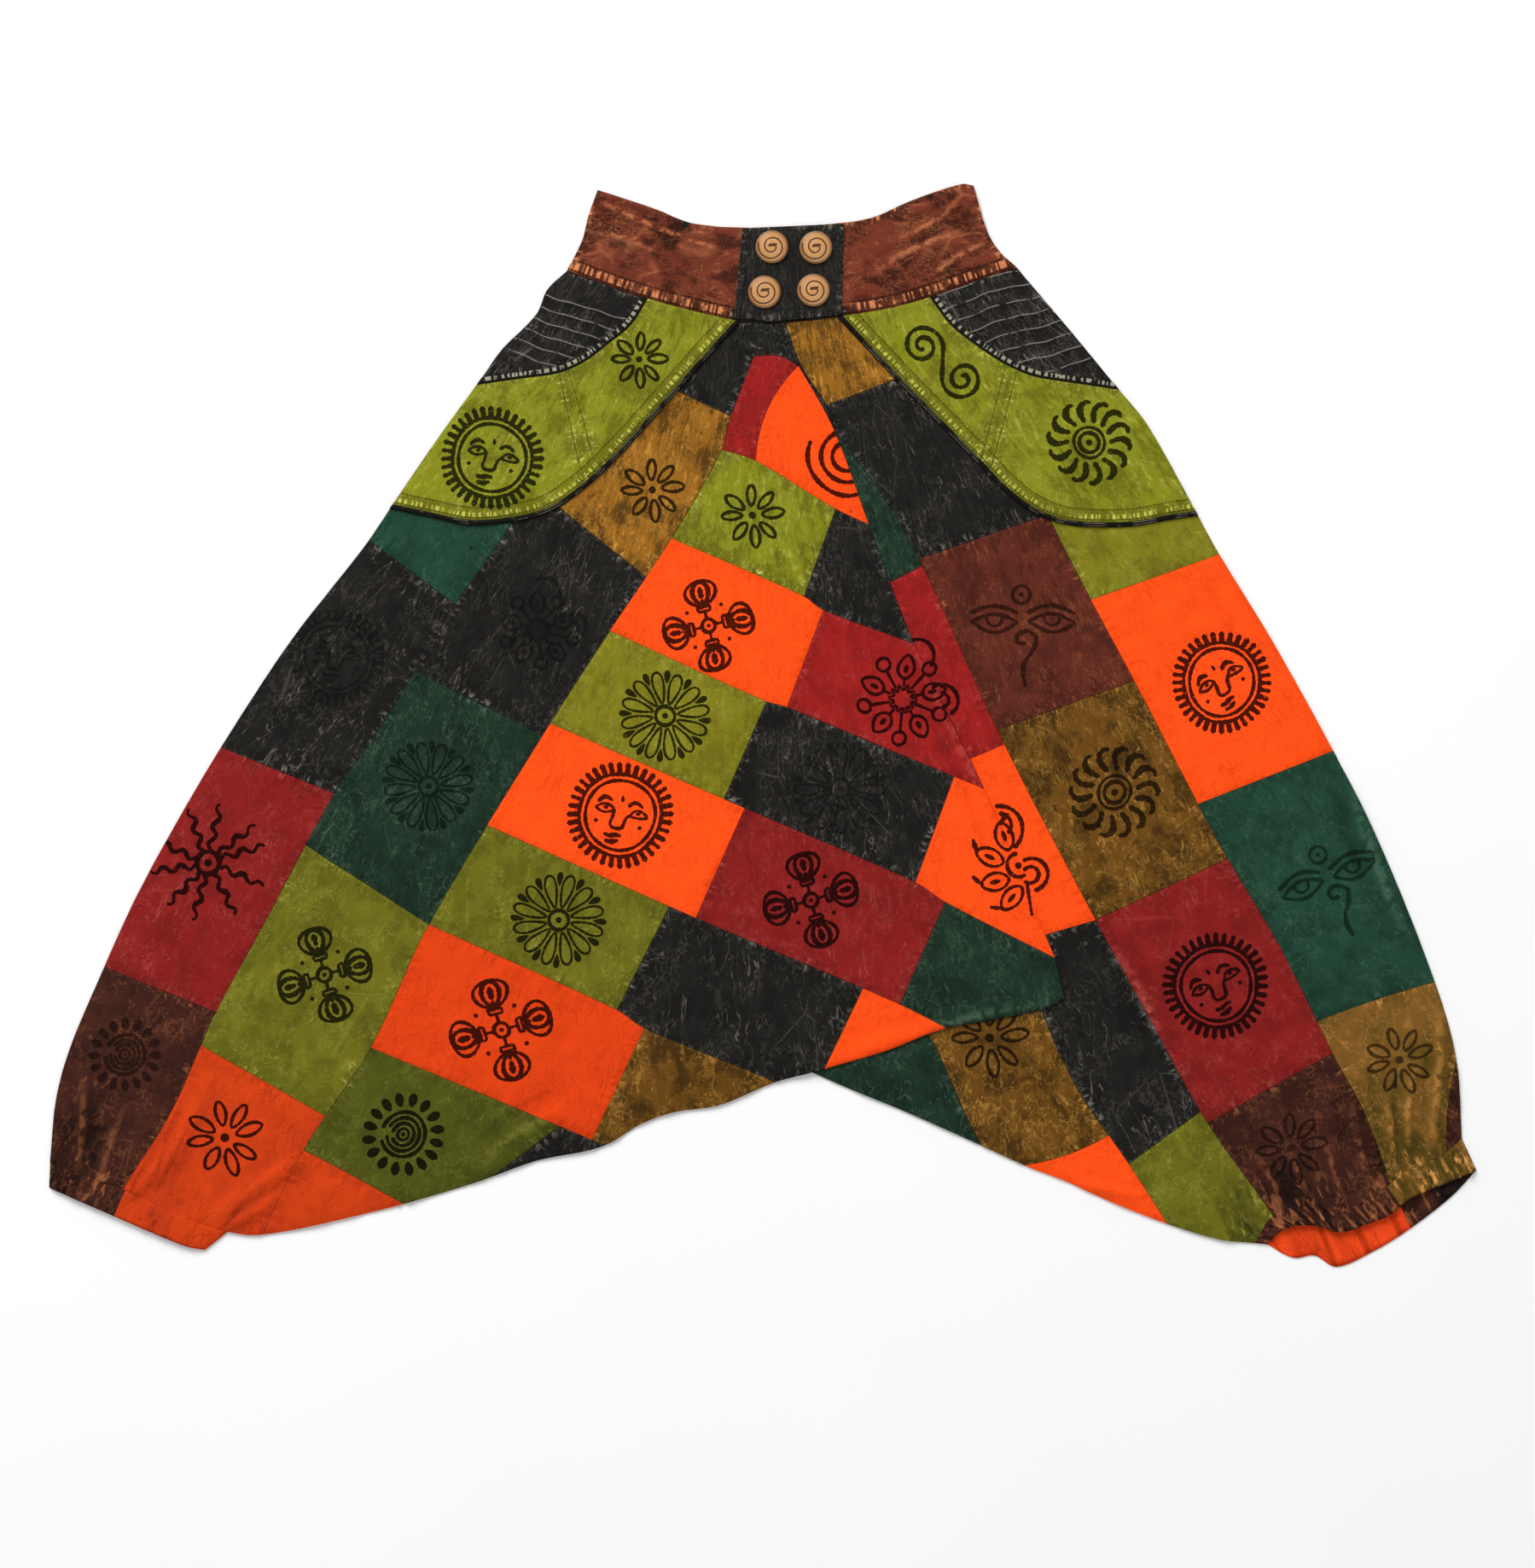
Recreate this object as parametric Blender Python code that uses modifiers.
"""Patchwork harem pants with a low crotch and gathered cuffs, laid flat on their back, front side up.

+X points to the viewer's right, +Y to the waist and +Z up, away from the surface that the pants lie on. The
origin is the bottom centre of the box round the garment. Left and right are the viewer's. The tables are in
millimetres, and MM turns them into metres. The pants are a back layer that lies flat, a front layer over
it that swells a little between the side seams, and pockets, yokes, a waistband and a buttoned tab.
"""

import math

import bmesh
import bpy
import numpy as np
from mathutils import geometry

MM = 0.001

# Walls and gaps.
CLOTH = 1.4
BAND_CLOTH = 2.2
TAB_CLOTH = 1.8
SEAM = 0.3

# How the front layer swells: its height over the back layer, and the width of the roll along the sides.
SWELL = 2.6
ROLL_WIDTH = 30.0
BAND_SWELL = 2.0
BAND_ROLL_WIDTH = 14.0

# How finely the layers are divided.
EDGE_STEP = 24.0
LATTICE = 40.0
BAND_LATTICE = 26.0
MERGE = 0.4

# Pocket details.
BINDING_HALF = 3.0
YOKE_UNDER_POCKET = 14.0
PIPING_WIDTH = 4.4
PIPING_EDGE = 1.0
PIPING_CREST = 2.4

# Pin-tucks of the yokes.
TUCK_HEIGHT = 1.3
TUCK_HALF = 2.6
TUCK_FADE = 7.0
TUCK_STEP = 18.0

# The left front laps over the right one below the middle.
LAP_FADE = 45.0
LAP_LIFT = CLOTH + SEAM + 0.9

# Cuffs.
CUFF_WALL = 1.2
CUFF_GAP = 0.6
CUFF_ROUND = 3.5
CUFF_ROWS = 3
CUFF_SPANS_PER_GATHER = 4

# Buttons.
BUTTON_RADIUS = 14.2
BUTTON_HEIGHT = 3.6
BUTTON_CROWN = 1.3
BUTTON_SPOKES = 28
BUTTON_RINGS = 9
GROOVE_START = 1.2
GROOVE_PITCH = 4.7
GROOVE_HALF = 1.5
GROOVE_DEPTH = 0.9

# Curves that bound the pieces. Columns: x, y.
CURVES = {
    "waist_top_left": [(-145, 471), (-96, 455), (-62, 442), (-18, 438), (24, 439)],
    "waist_top_right": [(24, 439), (68, 442), (97, 447), (131, 462), (174, 476), (185, 475)],
    "band_side_left": [(-145, 471), (-153, 449), (-159, 426), (-172, 400)],
    "band_side_right": [(185, 475), (197, 435), (208, 417), (223, 403)],
    "waist_seam_left": [(-172, 400), (-104, 376), (-24, 356), (8, 353)],
    "waist_seam_right": [(8, 353), (62, 359), (125, 370), (223, 403)],
    "side_left": [
        (-172, 400), (-189, 384), (-199, 362), (-230, 330), (-249, 303), (-283, 256), (-325, 195),
        (-350, 158), (-414, 76), (-470, -9), (-509, -74), (-550, -149), (-584, -224), (-609, -284),
        (-621, -329), (-626, -383),
    ],
    "side_right": [
        (223, 403), (268, 350), (310, 299), (338, 264), (380, 189), (401, 151), (447, 76), (489, 1),
        (528, -74), (555, -134), (579, -194), (600, -254), (610, -299), (614, -362),
    ],
    "inseam_left": [
        (43, -304), (10, -313), (-39, -333), (-78, -339), (-106, -349), (-141, -369), (-200, -382),
        (-250, -400), (-317, -420), (-370, -433), (-416, -443), (-449, -447), (-470, -444),
    ],
    "inseam_right": [
        (43, -304), (80, -320), (124, -338), (187, -366), (233, -387), (267, -400), (304, -417),
        (358, -438), (402, -451), (432, -454),
    ],
    "centre_front": [(8, 353), (32, 315), (62, 261), (92, 180), (133, 72), (194, -55), (256, -203)],
    "centre_tip": [(256, -203), (264, -239)],
    "centre_back": [(8, 353), (20, 100), (43, -304)],
    "lap_edge": [(264, -239), (247, -248), (200, -258), (156, -266), (110, -284), (56, -300), (43, -304)],
    "lap_hidden": [(43, -304), (72, -262), (120, -240), (170, -226), (215, -218), (256, -203)],
    "casing_left": [(-626, -383), (-565, -405), (-500, -434), (-470, -444)],
    "casing_right": [
        (614, -362), (597, -375), (560, -393), (539, -411), (503, -425), (477, -420), (447, -430), (432, -454),
    ],
    "hem_left": [(-627, -405), (-574, -428), (-508, -456), (-490, -460)],
    "hem_right_front": [
        (627, -390), (604, -399), (567, -415), (550, -429), (530, -437), (507, -444), (488, -439),
        (470, -438), (455, -443), (443, -455),
    ],
    "hem_right_back": [(627, -390), (604, -414), (565, -444), (537, -461), (504, -475), (485, -465),
                       (466, -467), (443, -455)],
    "mouth_left": [(-104, 376), (-118, 354), (-136, 339), (-157, 323), (-179, 313), (-213, 308), (-249, 303)],
    "mouth_right": [(149, 378), (168, 353), (194, 333), (218, 318), (238, 310), (260, 306), (310, 299)],
    "pocket_edge_left": [
        (-325, 195), (-293, 188), (-256, 181), (-218, 184), (-189, 192), (-160, 211), (-130, 239),
        (-89, 284), (-48, 330), (-24, 356),
    ],
    "pocket_edge_right": [
        (380, 189), (354, 185), (327, 180), (290, 179), (263, 182), (238, 192), (214, 210), (192, 233),
        (148, 278), (117, 310), (72, 358),
    ],
    "tab": [(-18, 437), (71, 441), (69, 361), (8, 355), (-25, 359)],
}

# Seams between the strips and rows of patches. Columns: x, y.
SEAMS = {
    "far_left": [(-240, 330), (-680, -40), (-680, -480)],
    "strip_a_b": [
        (-150, 330), (-220, 180), (-270, 107), (-335, 0), (-376, -59), (-443, -183), (-480, -251),
        (-520, -340), (-574, -428), (-590, -480),
    ],
    "strip_b_c": [
        (3, 352), (-28, 272), (-37, 241), (-80, 165), (-134, 84), (-190, -3), (-293, -174),
        (-344, -282), (-403, -372), (-450, -470),
    ],
    "crown": [(-7, 325), (14, 325), (31, 316), (60, 290)],
    "row_0": [(-36, 243), (-6, 233), (64, 191), (110, 170)],
    "row_1": [(-80, 165), (36, 114), (53, 102), (133, 72), (180, 50)],
    "row_2": [(-134, 84), (3, 22), (21, 17), (117, -23), (194, -55), (240, -75)],
    "row_3": [(-190, 4), (-34, -64), (134, -137), (160, -154), (256, -203), (300, -225)],
    "row_4": [(-241, -87), (-59, -168), (120, -244), (180, -275)],
    "row_5": [(-293, -174), (-128, -249), (-104, -265), (10, -312), (40, -330), (60, -342)],
    "row_6": [(-344, -282), (-250, -321), (-178, -351), (-120, -376)],
    "row_7": [(-403, -372), (-370, -389), (-300, -428)],
    "under_lap": [(-20, -180), (-20, -440)],
    "right_low": [(60, -180), (143, -275), (166, -310), (176, -336), (200, -420)],
    "right_mid": [(200, -215), (233, -231), (276, -318), (321, -384), (370, -460)],
    "centre_hidden": [
        (0, 353), (52, 261), (82, 180), (123, 72), (184, -55), (230, -200), (240, -240), (276, -318),
        (321, -384), (370, -460),
    ],
    "strip_0_1": [
        (19, 356), (34, 316), (56, 282), (65, 258), (102, 207), (137, 147), (212, -16), (292, -170),
        (338, -254), (389, -346), (455, -441), (470, -480),
    ],
    "strip_1_2": [
        (200, 300), (254, 178), (288, 111), (326, 40), (382, -68), (408, -116), (454, -194),
        (501, -289), (530, -344), (554, -415), (565, -480),
    ],
    "far_right": [(420, 300), (660, -100), (660, -480)],
}

# Patches between two seams, in order along them. "by" says which coordinate the cuts are read on.
# Columns of a patch: colour, where it starts on the first seam, where it starts on the second.
STRIPS = {
    "outer_left": ("far_left", "strip_a_b", "y", [
        ("dark_green", 420, 420), ("black", 209, 107), ("red", 41, -59), ("brown", -158, -251),
    ]),
    "inner_left": ("strip_a_b", "strip_b_c", "y", [
        ("black", 420, 420), ("ochre", 330, 272), ("black", 212, 131), ("dark_green", 49, -8),
        ("olive", -104, -174), ("orange", -280, -342),
    ]),
    "crown": ("crown", "row_0", "x", [("red", -7, -35), ("orange", 31, -6)]),
    "row_0": ("row_0", "row_1", "x", [("lime", -200, -200), ("black", 64, 36)]),
    "row_1": ("row_1", "row_2", "x", [("orange", -200, -200), ("red", 53, 21)]),
    "row_2": ("row_2", "row_3", "x", [("olive", -300, -300), ("black", 3, -34), ("orange", 168, 134)]),
    "row_3": ("row_3", "row_4", "x", [("orange", -300, -300), ("red", -16, -59), ("dark_green", 160, 120)]),
    "row_4": ("row_4", "row_5", "x", [("olive", -400, -400), ("black", -82, -128), ("orange", 88, 40)]),
    "row_5": ("row_5", "row_6", "x", [("orange", -400, -400), ("ochre", -104, -150)]),
    "row_6": ("row_6", "row_7", "x", [("olive", -500, -500), ("black", -178, -200)]),
    "gore_low": ("under_lap", "right_low", "y", [("dark_green", -180, -180)]),
    "gore_mid": ("right_low", "right_mid", "y", [("ochre", -180, -215), ("orange", -387, -359)]),
    "gore_right": ("centre_hidden", "strip_0_1", "y", [
        ("black", 353, 356), ("dark_green", 262, 258), ("red", 122, 141), ("orange", -32, -16),
        ("black", -189, -170), ("olive", -384, -338),
    ]),
    "inner_right": ("strip_0_1", "strip_1_2", "y", [
        ("ochre", 420, 420), ("black", 282, 330), ("brown", 147, 186), ("ochre", -3, 40),
        ("red", -170, -116), ("brown", -348, -287),
    ]),
    "outer_right": ("strip_1_2", "far_right", "y", [
        ("olive", 420, 420), ("orange", 111, 185), ("dark_green", -68, 20), ("ochre", -259, -205),
    ]),
}

# Folds of each front. Columns: x and y of each end, sideways bow, height, half width.
FOLDS_LEFT = [
    (-496, -328, -537, -405, 4, 3.6, 10), (-392, -375, -486, -440, -6, 4.2, 13),
    (-425, -410, -476, -441, 3, 2.6, 8), (-597, -306, -602, -392, 3, 3.4, 8),
    (-560, -336, -582, -408, -3, 3.2, 8), (-520, -358, -550, -412, 2, 2.8, 7),
    (-356, -36, -424, -246, 10, 2.2, 26), (-252, 114, -348, -119, -12, 2.0, 28),
    (15, 160, 38, 116, 3, 1.8, 8), (62, -292, 250, -240, 4, 1.6, 12),
    (120, 92, 240, -190, 6, 1.8, 11), (-250, -384, -160, -330, 5, 2.4, 14),
    (-70, -326, 4, -246, -5, 2.2, 16), (-173, 300, -157, 228, 2, -1.4, 7),
    (-60, 60, -20, -120, 8, 1.8, 24), (-160, -60, -230, -230, -8, 1.8, 26),
]
FOLDS_RIGHT = [
    (398, 148, 447, 54, -4, 3.4, 13), (514, -36, 571, -194, -6, 3.6, 14),
    (594, -250, 585, -366, 3, 4.6, 9), (571, -300, 566, -386, -3, 4.2, 8),
    (545, -322, 554, -398, 2, 3.8, 8), (516, -330, 533, -404, -2, 3.6, 8),
    (490, -360, 508, -420, 2, 3.0, 7), (462, -366, 482, -416, -2, 2.8, 7),
    (432, -376, 456, -424, 3, 2.6, 8), (270, -396, 340, -412, -3, 1.8, 8),
    (230, 114, 297, -74, 10, 1.9, 26), (334, -186, 394, -306, -8, 2.0, 22),
    (304, -190, 352, -284, 4, 2.2, 11), (160, 240, 250, 120, 8, 1.8, 24),
    (430, 40, 480, -90, 6, 1.8, 20), (470, -150, 520, -250, -6, 2.0, 18),
]
BAND_FOLDS = [
    (-140, 455, -60, 424, 3, 1.5, 9), (-152, 418, -70, 404, -4, 1.3, 9),
    (100, 400, 190, 446, 4, 1.5, 10), (120, 440, 186, 452, -3, 1.2, 8),
]

# Pin-tucks. Columns: x and y on the first one, x and y of its direction, pitch towards the pocket, count.
TUCKS_LEFT = ((-187, 378), (0.956, -0.292), (-0.292, -0.956), 11.4, 6)
TUCKS_RIGHT = ((222, 400), (0.953, 0.303), (0.303, -0.953), 13.2, 8)

# Gathers of each cuff: how many across its front, and how high.
CUFF_GATHERS = {"left": (9, 1.5), "right": (14, 2.4)}

# Buttons. Columns: x, y of the middle.
BUTTONS = [(8, 420), (46.5, 419.5), (1.5, 380.5), (44.5, 382)]

# Colours as hexadecimal sRGB.
COLOURS = {
    "black": "2B2826", "dark_green": "214A38", "olive": "6F7318", "lime": "8C9423", "ochre": "86611F",
    "brown": "5C2F23", "rust": "7C402C", "red": "9C2222", "orange": "F4511E", "wood": "B98A4E",
}
ROUGHNESS = {"wood": 0.45}
CLOTH_ROUGHNESS = 0.9


def spline(points, step):
    """Points on a smooth curve through the given ones, at most step apart."""
    given = np.array(points, float)
    spans = np.linalg.norm(np.diff(given, axis=0), axis=1)
    slope = np.empty_like(given)
    slope[0] = (given[1] - given[0]) / spans[0]
    slope[-1] = (given[-1] - given[-2]) / spans[-1]
    slope[1:-1] = (given[2:] - given[:-2]) / (spans[1:] + spans[:-1])[:, None]
    made = []
    for i, span in enumerate(spans):
        count = max(1, math.ceil(span / step))
        t = (np.arange(count) / count)[:, None]
        made.append(
            (2 * t**3 - 3 * t**2 + 1) * given[i] + (3 * t**2 - 2 * t**3) * given[i + 1]
            + ((t**3 - 2 * t**2 + t) * slope[i] + (t**3 - t**2) * slope[i + 1]) * span
        )
    return np.vstack(made + [given[-1:]])


def offset(curve, distance):
    """The curve moved to its left by the distance."""
    along = np.gradient(curve, axis=0)
    along /= np.linalg.norm(along, axis=1)[:, None]
    return curve + distance * np.column_stack([-along[:, 1], along[:, 0]])


def loop(*curves):
    """One closed outline from curves that meet end to end."""
    return np.vstack([curve[:-1] for curve in curves])


def distance_to(points, *curves):
    """Each point's distance to the nearest of the curves."""
    nearest = np.full(len(points), np.inf)
    for curve in curves:
        for start, end in zip(curve[:-1], curve[1:]):
            span = end - start
            t = np.clip((points - start) @ span / (span @ span), 0, 1)
            nearest = np.minimum(nearest, np.linalg.norm(points - start - t[:, None] * span, axis=1))
    return nearest


def inside(points, outline):
    """Whether each point is inside the closed outline."""
    x, y = points[:, 0], points[:, 1]
    odd = np.zeros(len(points), bool)
    for (x0, y0), (x1, y1) in zip(outline, np.roll(outline, -1, axis=0)):
        crosses = (y0 > y) != (y1 > y)
        if y1 != y0:
            odd ^= crosses & (x < x0 + (y - y0) * (x1 - x0) / (y1 - y0))
    return odd


def counter_clockwise(outline):
    """The outline with its inside on the left of each edge."""
    x, y = outline.T
    area = np.sum(x * np.roll(y, -1) - np.roll(x, -1) * y)
    return outline if area > 0 else outline[::-1]


def smooth_step(t):
    t = np.clip(t, 0, 1)
    return t * t * (3 - 2 * t)


def rolled(distance, width):
    """0 on an edge, rising to 1 at width from it, round like a soft fold."""
    t = np.clip(distance / width, 0, 1)
    return t * (2 - t)


def fold_heights(points, folds):
    """What the folds add at each point. A fold fades at its ends and at its half width."""
    total = np.zeros(len(points))
    for x0, y0, x1, y1, bow, height, half_width in folds:
        along = np.array([x1 - x0, y1 - y0], float)
        length = np.linalg.norm(along)
        along /= length
        from_start = points - (x0, y0)
        t = from_start @ along / length
        across = from_start @ np.array([-along[1], along[0]]) - bow * 4 * t * (1 - t)
        ridge = 0.5 + 0.5 * np.cos(np.pi * np.clip(np.abs(across) / half_width, 0, 1))
        total += height * ridge * np.sin(np.pi * np.clip(t, 0, 1)) ** 0.7
    return total


def fold_lines(folds):
    """Each fold's crest and its two feet, for the layer's triangles to follow."""
    lines = []
    for x0, y0, x1, y1, bow, _, half_width in folds:
        along = np.array([x1 - x0, y1 - y0], float)
        count = max(3, round(np.linalg.norm(along) / LATTICE) + 2)
        t = np.linspace(0, 1, count)
        side = np.array([-along[1], along[0]]) / np.linalg.norm(along)
        for shift in (-half_width, 0, half_width):
            sideways = bow * 4 * t * (1 - t) + shift
            lines.append((x0, y0) + t[:, None] * along + sideways[:, None] * side)
    return lines


def tuck_lines(tucks, yoke):
    """Crests and feet of the pin-tucks, each cut off at the yoke's outline."""
    start, along, down, pitch, count = (np.array(value, float) for value in tucks)
    reach = np.arange(-240.0, 240.0, TUCK_STEP)[:, None]
    lines = []
    for i in range(int(count)):
        for shift in (-TUCK_HALF, 0, TUCK_HALF):
            line = start + (pitch * i + shift) * down + reach * along
            held = line[inside(line, yoke)]
            if len(held) > 1:
                lines.append(held)
    return lines


def tuck_heights(points, tucks, mouth):
    """What the pin-tucks add: ridges that fade out before the pocket's mouth."""
    start, _, down, pitch, count = (np.array(value, float) for value in tucks)
    across = (points - start) @ down
    nearest = np.clip(np.round(across / pitch), 0, count - 1) * pitch
    ridge = np.clip(1 - np.abs(across - nearest) / TUCK_HALF, 0, 1)
    return TUCK_HEIGHT * ridge * smooth_step((distance_to(points, mouth) - BINDING_HALF) / TUCK_FADE)


class Sheet:
    """Triangles over a closed outline that follow the given lines and know which regions hold them."""

    def __init__(self, outline, lines, regions, lattice):
        self.names = list(regions)
        rings = [counter_clockwise(ring) for ring in [outline, *regions.values()]]
        places, edges, faces = [], [], []
        for ring in rings:
            faces.append(list(range(len(places), len(places) + len(ring))))
            places.extend(map(tuple, ring))
        for line in lines:
            first = len(places)
            places.extend(map(tuple, line))
            edges.extend((i, i + 1) for i in range(first, len(places) - 1))
        fixed = np.array(places)
        low, high = outline.min(axis=0), outline.max(axis=0)
        grid = []
        for row, y in enumerate(np.arange(low[1], high[1], lattice * math.sqrt(0.75))):
            grid.extend((x, y) for x in np.arange(low[0] + lattice / 2 * (row % 2), high[0], lattice))
        grid = np.array(grid)
        grid = grid[inside(grid, outline)]
        clear = [np.linalg.norm(fixed - place, axis=1).min() > lattice * 0.55 for place in grid]
        places.extend(map(tuple, grid[clear]))
        made = geometry.delaunay_2d_cdt([tuple(place) for place in places], edges, faces, 0, MERGE)
        points, _, triangles, _, _, held_by = made
        self.points = np.array([tuple(point) for point in points])
        kept = [(face, set(held)) for face, held in zip(triangles, held_by) if 0 in held]
        self.triangles = [face for face, _ in kept]
        self.held_by = [held for _, held in kept]

    def within(self, name):
        """Which triangles the named region holds."""
        number = self.names.index(name) + 1
        return [number in held for held in self.held_by]

    def colours(self, regions, default):
        """Each triangle's colour: that of the last region in the table that holds it."""
        numbers = {self.names.index(name) + 1: colour for name, colour in regions.items()}
        return [
            next((numbers[n] for n in sorted(held, reverse=True) if n in numbers), default)
            for held in self.held_by
        ]


def drawn_in(points, triangles, gap):
    """The points, with those on the edge of the triangles moved in by the gap."""
    count = {}
    for a, b, c in triangles:
        for edge in ((a, b), (b, c), (c, a)):
            count[edge] = count.get(edge, 0) + 1
    normals = {}
    for a, b in count:
        if (b, a) in count:
            continue
        span = points[b] - points[a]
        normal = np.array([-span[1], span[0]]) / np.linalg.norm(span)
        normals.setdefault(a, []).append(normal)
        normals.setdefault(b, []).append(normal)
    moved = points.copy()
    for i, held in normals.items():
        total = np.sum(held, axis=0)
        spread = max(0.6, 1 + float(held[0] @ held[-1]))
        moved[i] += gap * total / spread
    return moved


def material(colour):
    name = "cloth_" + colour
    found = bpy.data.materials.get(name)
    if found:
        return found
    made = bpy.data.materials.new(name)
    made.use_nodes = True
    channels = [int(COLOURS[colour][i : i + 2], 16) / 255 for i in (0, 2, 4)]
    linear = [c / 12.92 if c <= 0.04045 else ((c + 0.055) / 1.055) ** 2.4 for c in channels]
    shader = made.node_tree.nodes["Principled BSDF"]
    shader.inputs["Base Color"].default_value = (*linear, 1)
    shader.inputs["Roughness"].default_value = ROUGHNESS.get(colour, CLOTH_ROUGHNESS)
    shader.inputs["Metallic"].default_value = 0
    made.diffuse_color = (*linear, 1)
    return made


def add_object(name, shape, colours):
    """The finished bmesh as an object of the garment's collection."""
    mesh = bpy.data.meshes.new(name)
    shape.to_mesh(mesh)
    shape.free()
    for colour in colours:
        mesh.materials.append(material(colour))
    made = bpy.data.objects.new(name, mesh)
    bpy.data.collections["harem_pants"].objects.link(made)
    return made


def add_cloth(name, sheet, chosen, floor, wall, colours):
    """A closed wall over the chosen triangles. floor is its underside and wall its thickness, by point."""
    picked = [(face, colour) for face, take, colour in zip(sheet.triangles, chosen, colours) if take]
    points = drawn_in(sheet.points, [face for face, _ in picked], SEAM / 2)
    palette = sorted({colour for _, colour in picked})
    shape = bmesh.new()
    thickness = shape.verts.layers.float.new("wall")
    corners = {}
    for i in sorted({i for face, _ in picked for i in face}):
        corners[i] = shape.verts.new((points[i][0] * MM, points[i][1] * MM, floor[i] * MM))
        corners[i][thickness] = wall[i] * MM
    for face, colour in picked:
        shape.faces.new([corners[i] for i in face]).material_index = palette.index(colour)
    made = bmesh.ops.extrude_face_region(shape, geom=shape.faces[:])
    for corner in made["geom"]:
        if isinstance(corner, bmesh.types.BMVert):
            corner.co.z += corner[thickness]
    bmesh.ops.recalc_face_normals(shape, faces=shape.faces[:])
    return add_object(name, shape, palette)


def stretch_of(seam, axis, start, end):
    """The seam's points from one coordinate to another along the axis."""
    values = seam[:, axis]
    order = 1 if values[-1] > values[0] else -1
    start, end = (float(np.clip(v, values.min(), values.max())) for v in (start, end))
    cut = [
        [np.interp(order * v, order * values, seam[:, k]) for k in (0, 1)] for v in (start, end)
    ]
    between = seam[(order * values > order * start) & (order * values < order * end)]
    return np.vstack([cut[:1], between, cut[1:]])


def patch_regions(names):
    """Outlines and colours of the patches in the named strips."""
    outlines, colours = {}, {}
    for name in names:
        first, second, by, patches = STRIPS[name]
        axis = "xy".index(by)
        seams = [spline(SEAMS[seam], LATTICE) for seam in (first, second)]
        beyond = [seam[-1][axis] for seam in seams]
        for number, (colour, *starts) in enumerate(patches):
            ends = list(patches[number + 1][1:]) if number + 1 < len(patches) else beyond
            edges = [stretch_of(*each) for each in zip(seams, (axis, axis), starts, ends)]
            outlines[f"{name}_{number}"] = np.vstack([edges[0], edges[1][::-1]])
            colours[f"{name}_{number}"] = colour
    return outlines, colours


def pocket_curves(edge, side):
    """The curves across one pocket: binding's edges, yoke's hidden edge, piping's crest and outer edge."""
    towards_pocket = 1 if side == "left" else -1
    mouth, lower = edge["mouth_" + side], edge["pocket_edge_" + side]
    return {
        "binding_top": offset(mouth, -towards_pocket * BINDING_HALF),
        "binding_foot": offset(mouth, towards_pocket * BINDING_HALF),
        "yoke_hidden": offset(mouth, towards_pocket * YOKE_UNDER_POCKET),
        "piping_crest": offset(lower, -towards_pocket * PIPING_WIDTH / 2),
        "piping_foot": offset(lower, -towards_pocket * PIPING_WIDTH),
    }


def stretched(curve, reach):
    """The curve with each end run on by reach, so that it crosses the outline it meets."""
    first = curve[0] + reach * (curve[0] - curve[1]) / np.linalg.norm(curve[0] - curve[1])
    last = curve[-1] + reach * (curve[-1] - curve[-2]) / np.linalg.norm(curve[-1] - curve[-2])
    return np.vstack([[first], curve, [last]])


def between(first, second, reach=8.0):
    """The region between two curves that run the same way, past the layer's edge at both ends."""
    return np.vstack([stretched(first, reach), stretched(second, reach)[::-1]])


def add_side(side, edge, outline, folds, tucks, floor_of, patch_names):
    """One front with its yoke, pocket, binding and piping, all made from the points of one layer."""
    curves = pocket_curves(edge, side)
    mouth, lower = edge["mouth_" + side], edge["pocket_edge_" + side]
    corner = edge["waist_seam_" + side][0 if side == "left" else -1] + (0, 40)
    outer = np.array([corner, edge["side_" + side][8] + ((-60, 0) if side == "left" else (60, 0))])
    yoke = np.vstack([stretched(curves["yoke_hidden"], 8.0), outer[::-1]])
    lowest_outer = lower[0] + ((-60, 10) if side == "left" else (60, 10))
    pocket_ring = np.vstack([
        stretched(lower, 8.0), stretched(curves["binding_foot"], 8.0), [lowest_outer],
    ])
    outlines, colours = patch_regions(patch_names)
    regions = {
        "yoke": yoke,
        "pocket": pocket_ring,
        "binding": between(curves["binding_top"], curves["binding_foot"]),
        "piping": between(lower, curves["piping_foot"]),
        **outlines,
    }
    lines = fold_lines(folds) + tuck_lines(tucks, np.vstack([curves["binding_top"], outer[::-1]]))
    lines.append(curves["piping_crest"])
    sheet = Sheet(outline, lines, regions, LATTICE)
    in_yoke, in_pocket = sheet.within("yoke"), sheet.within("pocket")
    in_binding, in_piping = sheet.within("binding"), sheet.within("piping")
    floor = floor_of(sheet.points)
    on_yoke = inside(sheet.points, np.vstack([mouth, outer[::-1]]))
    floor = floor + np.where(on_yoke, tuck_heights(sheet.points, tucks, mouth), 0)
    wall = np.full(len(floor), CLOTH)
    above = floor + CLOTH + SEAM
    patches = sheet.colours(colours, "black")
    plain = {colour: [colour] * len(patches) for colour in ("black", "lime")}
    add_cloth("front_" + side, sheet, [not y for y in in_yoke], floor, wall, patches)
    add_cloth("hip_yoke_" + side, sheet, in_yoke, floor, wall, plain["black"])
    add_cloth("pocket_" + side, sheet, in_pocket, above, wall, plain["lime"])
    add_cloth("pocket_band_" + side, sheet, in_binding, above, wall, plain["black"])
    crest = np.clip(1 - distance_to(sheet.points, curves["piping_crest"]) / (PIPING_WIDTH / 2), 0, 1)
    piping_wall = PIPING_EDGE + (PIPING_CREST - PIPING_EDGE) * crest
    add_cloth("pocket_piping_" + side, sheet, in_piping, above, piping_wall, plain["black"])


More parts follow.
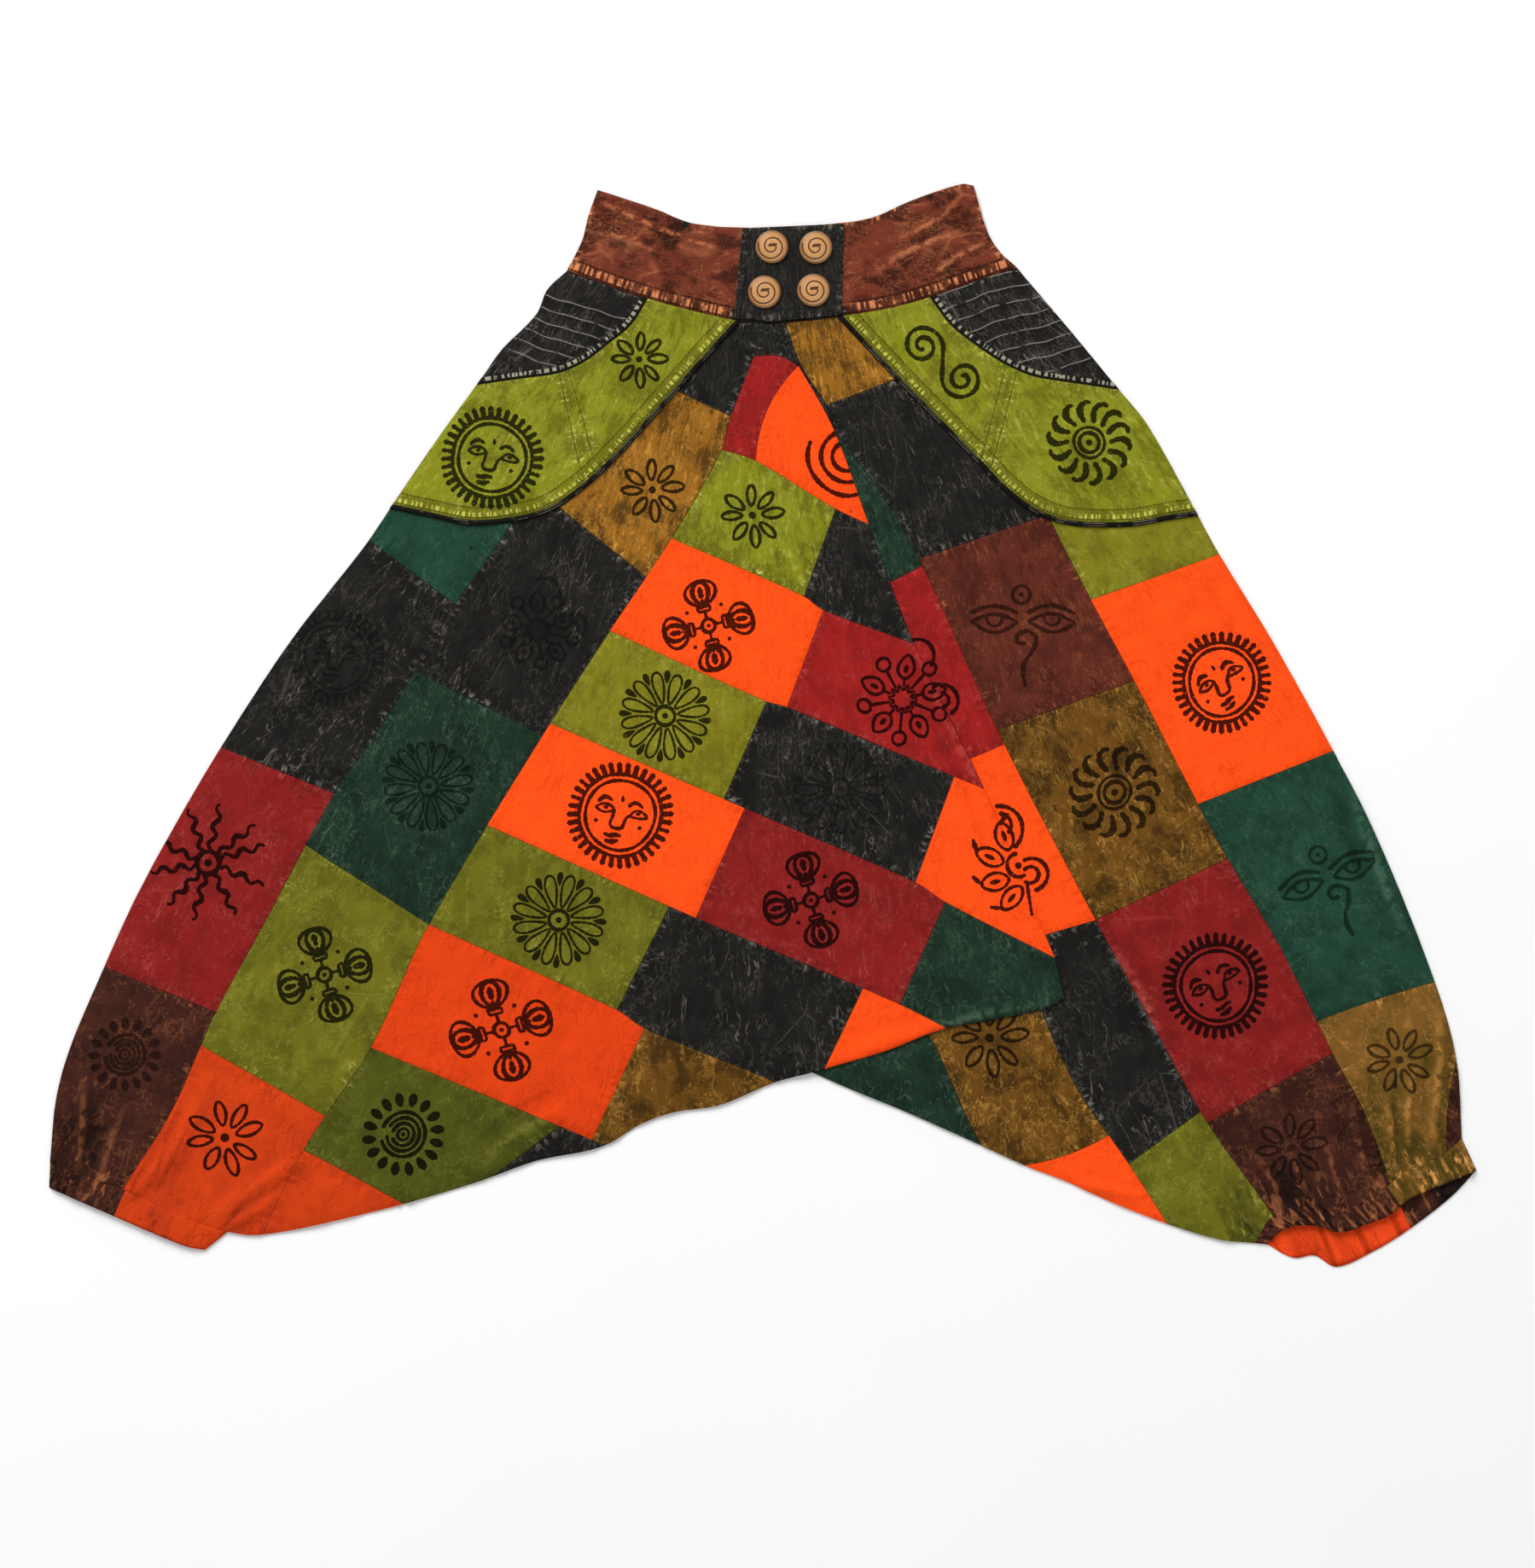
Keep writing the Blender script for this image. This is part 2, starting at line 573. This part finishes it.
def add_fronts(edge):
    lap = loop(edge["lap_hidden"], edge["centre_tip"], edge["lap_edge"])

    def right_floor(points):
        roll = rolled(distance_to(points, edge["side_right"], edge["inseam_right"]), ROLL_WIDTH)
        return CLOTH + SEAM + SWELL * roll + fold_heights(points, FOLDS_RIGHT)

    def left_floor(points):
        roll = rolled(distance_to(points, edge["side_left"], edge["inseam_left"]), ROLL_WIDTH)
        near_lap = np.where(inside(points, lap), 0, distance_to(points, edge["lap_hidden"], edge["lap_edge"]))
        lift = LAP_LIFT * smooth_step(1 - near_lap / LAP_FADE)
        return CLOTH + SEAM + SWELL * roll + lift + fold_heights(points, FOLDS_LEFT)

    left = loop(
        edge["waist_seam_left"], edge["centre_front"], edge["centre_tip"], edge["lap_edge"],
        edge["inseam_left"], edge["casing_left"][::-1], edge["side_left"][::-1],
    )
    right = loop(
        edge["waist_seam_right"], edge["side_right"], edge["casing_right"], edge["inseam_right"][::-1],
        edge["lap_hidden"], edge["centre_front"][::-1],
    )
    left_strips = ["outer_left", "inner_left", "crown"] + [f"row_{i}" for i in range(7)]
    right_strips = ["gore_low", "gore_mid", "gore_right", "inner_right", "outer_right"]
    add_side("left", edge, left, FOLDS_LEFT, TUCKS_LEFT, left_floor, left_strips)
    add_side("right", edge, right, FOLDS_RIGHT, TUCKS_RIGHT, right_floor, right_strips)


def add_backs(edge):
    """The back layer, flat on the surface."""
    outlines = {
        "left": loop(
            edge["waist_seam_left"], edge["centre_back"], edge["inseam_left"],
            edge["casing_left"][::-1], edge["side_left"][::-1],
        ),
        "right": loop(
            edge["waist_seam_right"], edge["side_right"], edge["casing_right"],
            edge["inseam_right"][::-1], edge["centre_back"][::-1],
        ),
    }
    for side, outline in outlines.items():
        sheet = Sheet(outline, [], {}, 3 * LATTICE)
        level = np.zeros(len(sheet.points))
        everywhere = [True] * len(sheet.triangles)
        add_cloth("back_" + side, sheet, everywhere, level, level + CLOTH, ["black"] * len(everywhere))


def add_waistband(edge):
    """Two front halves that meet under the tab, the tab on them, and the back under them."""
    middle = np.array([edge["waist_top_left"][-1], edge["waist_seam_left"][-1]])
    top = [edge["waist_top_left"], edge["waist_top_right"]]
    sides = [edge["band_side_left"], edge["band_side_right"]]
    bottom = [edge["waist_seam_right"][::-1], edge["waist_seam_left"][::-1]]
    outline = loop(*top, sides[1], *bottom, sides[0][::-1])
    left_half = loop(edge["waist_top_left"], middle, bottom[1], sides[0][::-1])
    regions = {"left": left_half, "tab": edge["tab"]}
    sheet = Sheet(outline, [middle] + fold_lines(BAND_FOLDS), regions, BAND_LATTICE)
    roll = rolled(distance_to(sheet.points, *top, *sides), BAND_ROLL_WIDTH)
    floor = BAND_CLOTH + SEAM + BAND_SWELL * roll + fold_heights(sheet.points, BAND_FOLDS)
    wall = np.full(len(floor), BAND_CLOTH)
    rust = ["rust"] * len(sheet.triangles)
    in_left = sheet.within("left")
    add_cloth("waistband_front_left", sheet, in_left, floor, wall, rust)
    add_cloth("waistband_front_right", sheet, [not held for held in in_left], floor, wall, rust)
    black = ["black"] * len(rust)
    tab_floor = floor + BAND_CLOTH + SEAM
    tab_wall = np.full(len(floor), TAB_CLOTH)
    add_cloth("waistband_tab", sheet, sheet.within("tab"), tab_floor, tab_wall, black)
    back = Sheet(outline, [], {}, 3 * BAND_LATTICE)
    level = np.zeros(len(back.points))
    everywhere = [True] * len(back.triangles)
    add_cloth("waistband_back", back, everywhere, level, level + BAND_CLOTH, ["rust"] * len(everywhere))


def at_fractions(curve, fractions):
    """Points of the curve at the given shares of its length."""
    lengths = np.concatenate([[0], np.cumsum(np.linalg.norm(np.diff(curve, axis=0), axis=1))])
    wanted = np.array(fractions) * lengths[-1]
    return np.column_stack([np.interp(wanted, lengths, curve[:, k]) for k in (0, 1)])


def cuff_heights(along_front, share, gathers, height):
    """Heights of the cuff's outer face over its width: the front's rounded and gathered, the back's flat."""
    half_top = (CLOTH + SEAM + CLOTH) / 2
    round_off = np.sqrt(1 - (1 - np.clip(along_front / CUFF_ROUND, 0, 1)) ** 2)
    if gathers == 0:
        return half_top * (1 - round_off)
    uneven = share + 0.012 * np.sin(2 * np.pi * 2.3 * share)
    wave = 0.5 - 0.5 * np.cos(2 * np.pi * gathers * uneven)
    strength = 0.75 + 0.25 * np.sin(2 * np.pi * 1.7 * share + 1.0)
    swell = SWELL * rolled(along_front, ROLL_WIDTH)
    return half_top * (1 + round_off) + swell + height * wave * strength * rolled(along_front, 2 * CUFF_ROUND)


def add_cuff(side, casing, hem_front, hem_back):
    """A flattened ring round the leg's end: gathered in front, flat behind, open at the hem and the leg."""
    gathers, height = CUFF_GATHERS[side]
    spans = gathers * CUFF_SPANS_PER_GATHER
    near_end = CUFF_ROUND * 0.35 / np.linalg.norm(np.diff(hem_front, axis=0), axis=1).sum()
    inner = np.linspace(0, 1, spans + 1)[1:-1]
    front = np.concatenate([[0, near_end], inner, [1 - near_end, 1]])
    back = np.concatenate([[1 - near_end], np.linspace(1, 0, spans // 2 + 1)[1:-1], [near_end]])
    shape = bmesh.new()
    rows = []
    for row in range(CUFF_ROWS + 1):
        down = row / CUFF_ROWS
        corners = []
        for shares, hem, waves in ((front, hem_front, gathers), (back, hem_back, 0)):
            top, foot = at_fractions(casing, shares), at_fractions(hem, shares)
            lead_in = CUFF_GAP / np.linalg.norm(foot - top, axis=1)[:, None]
            places = top + (foot - top) * (lead_in + (1 - lead_in) * down)
            from_end = np.minimum(shares, 1 - shares) * np.linalg.norm(np.diff(hem, axis=0), axis=1).sum()
            heights = cuff_heights(from_end, shares, waves, height * (0.45 + 0.55 * down))
            corners += [(x * MM, y * MM, z * MM) for (x, y), z in zip(places, heights)]
        rows.append([shape.verts.new(corner) for corner in corners])
    for upper, lower in zip(rows[:-1], rows[1:]):
        for i, first in enumerate(upper):
            second = (i + 1) % len(upper)
            shape.faces.new((first, lower[i], lower[second], upper[second]))
    bmesh.ops.recalc_face_normals(shape, faces=shape.faces[:])
    cuff = add_object("cuff_" + side, shape, ["brown" if side == "left" else "ochre"])
    shell = cuff.modifiers.new("wall", "SOLIDIFY")
    shell.thickness = CUFF_WALL * MM
    shell.offset = -1
    return cuff


def add_cuffs(edge):
    add_cuff("left", edge["casing_left"], edge["hem_left"], edge["hem_left"])
    add_cuff("right", edge["casing_right"], edge["hem_right_front"], edge["hem_right_back"])


def groove_depth(x, y):
    """How deep the spiral groove is at a point of the button's face."""
    radius, angle = math.hypot(x, y), math.atan2(y, x) / (2 * math.pi)
    turns = round((radius - GROOVE_START) / GROOVE_PITCH - angle)
    nearest = GROOVE_START + GROOVE_PITCH * (turns + angle)
    within = 0 < nearest < BUTTON_RADIUS - GROOVE_HALF
    return GROOVE_DEPTH * max(0.0, 1 - abs(radius - nearest) / GROOVE_HALF) if within else 0.0


def add_button(name, x, y, floor):
    """A turned disc with a low crown and a spiral groove cut in its face."""
    face = BUTTON_RADIUS - 1.0
    profile = [(0, 0), (face, 0), (BUTTON_RADIUS, 0.9), (BUTTON_RADIUS, BUTTON_HEIGHT - BUTTON_CROWN - 0.5)]
    for ring in range(BUTTON_RINGS, -1, -1):
        radius = face * ring / BUTTON_RINGS
        profile.append((radius, BUTTON_HEIGHT - BUTTON_CROWN * (radius / face) ** 2))
    shape = bmesh.new()
    line = [shape.verts.new((radius, 0, height)) for radius, height in profile]
    edges = [shape.edges.new(pair) for pair in zip(line[:-1], line[1:])]
    turn = {"axis": (0, 0, 1), "cent": (0, 0, 0), "angle": 2 * math.pi, "steps": BUTTON_SPOKES}
    bmesh.ops.spin(shape, geom=line + edges, **turn)
    bmesh.ops.remove_doubles(shape, verts=shape.verts[:], dist=0.001)
    for corner in shape.verts:
        if corner.co.z > BUTTON_HEIGHT - BUTTON_CROWN - 0.1:
            corner.co.z -= groove_depth(corner.co.x, corner.co.y)
        corner.co *= MM
    bmesh.ops.recalc_face_normals(shape, faces=shape.faces[:])
    button = add_object(name, shape, ["wood"])
    button.location = (x * MM, y * MM, floor * MM)
    return button


def add_buttons():
    tab_top = BAND_CLOTH + SEAM + BAND_SWELL + BAND_CLOTH + SEAM + TAB_CLOTH
    for number, (x, y) in enumerate(BUTTONS, 1):
        add_button(f"button_{number}", x, y, tab_top + SEAM)


def main():
    for leftover in list(bpy.data.objects):
        bpy.data.objects.remove(leftover)
    garment = bpy.data.collections.new("harem_pants")
    bpy.context.scene.collection.children.link(garment)
    straight = ("tab", "centre_tip")
    edge = {
        name: np.array(points, float) if name in straight else spline(points, EDGE_STEP)
        for name, points in CURVES.items()
    }
    add_backs(edge)
    add_fronts(edge)
    add_waistband(edge)
    add_cuffs(edge)
    add_buttons()


main()
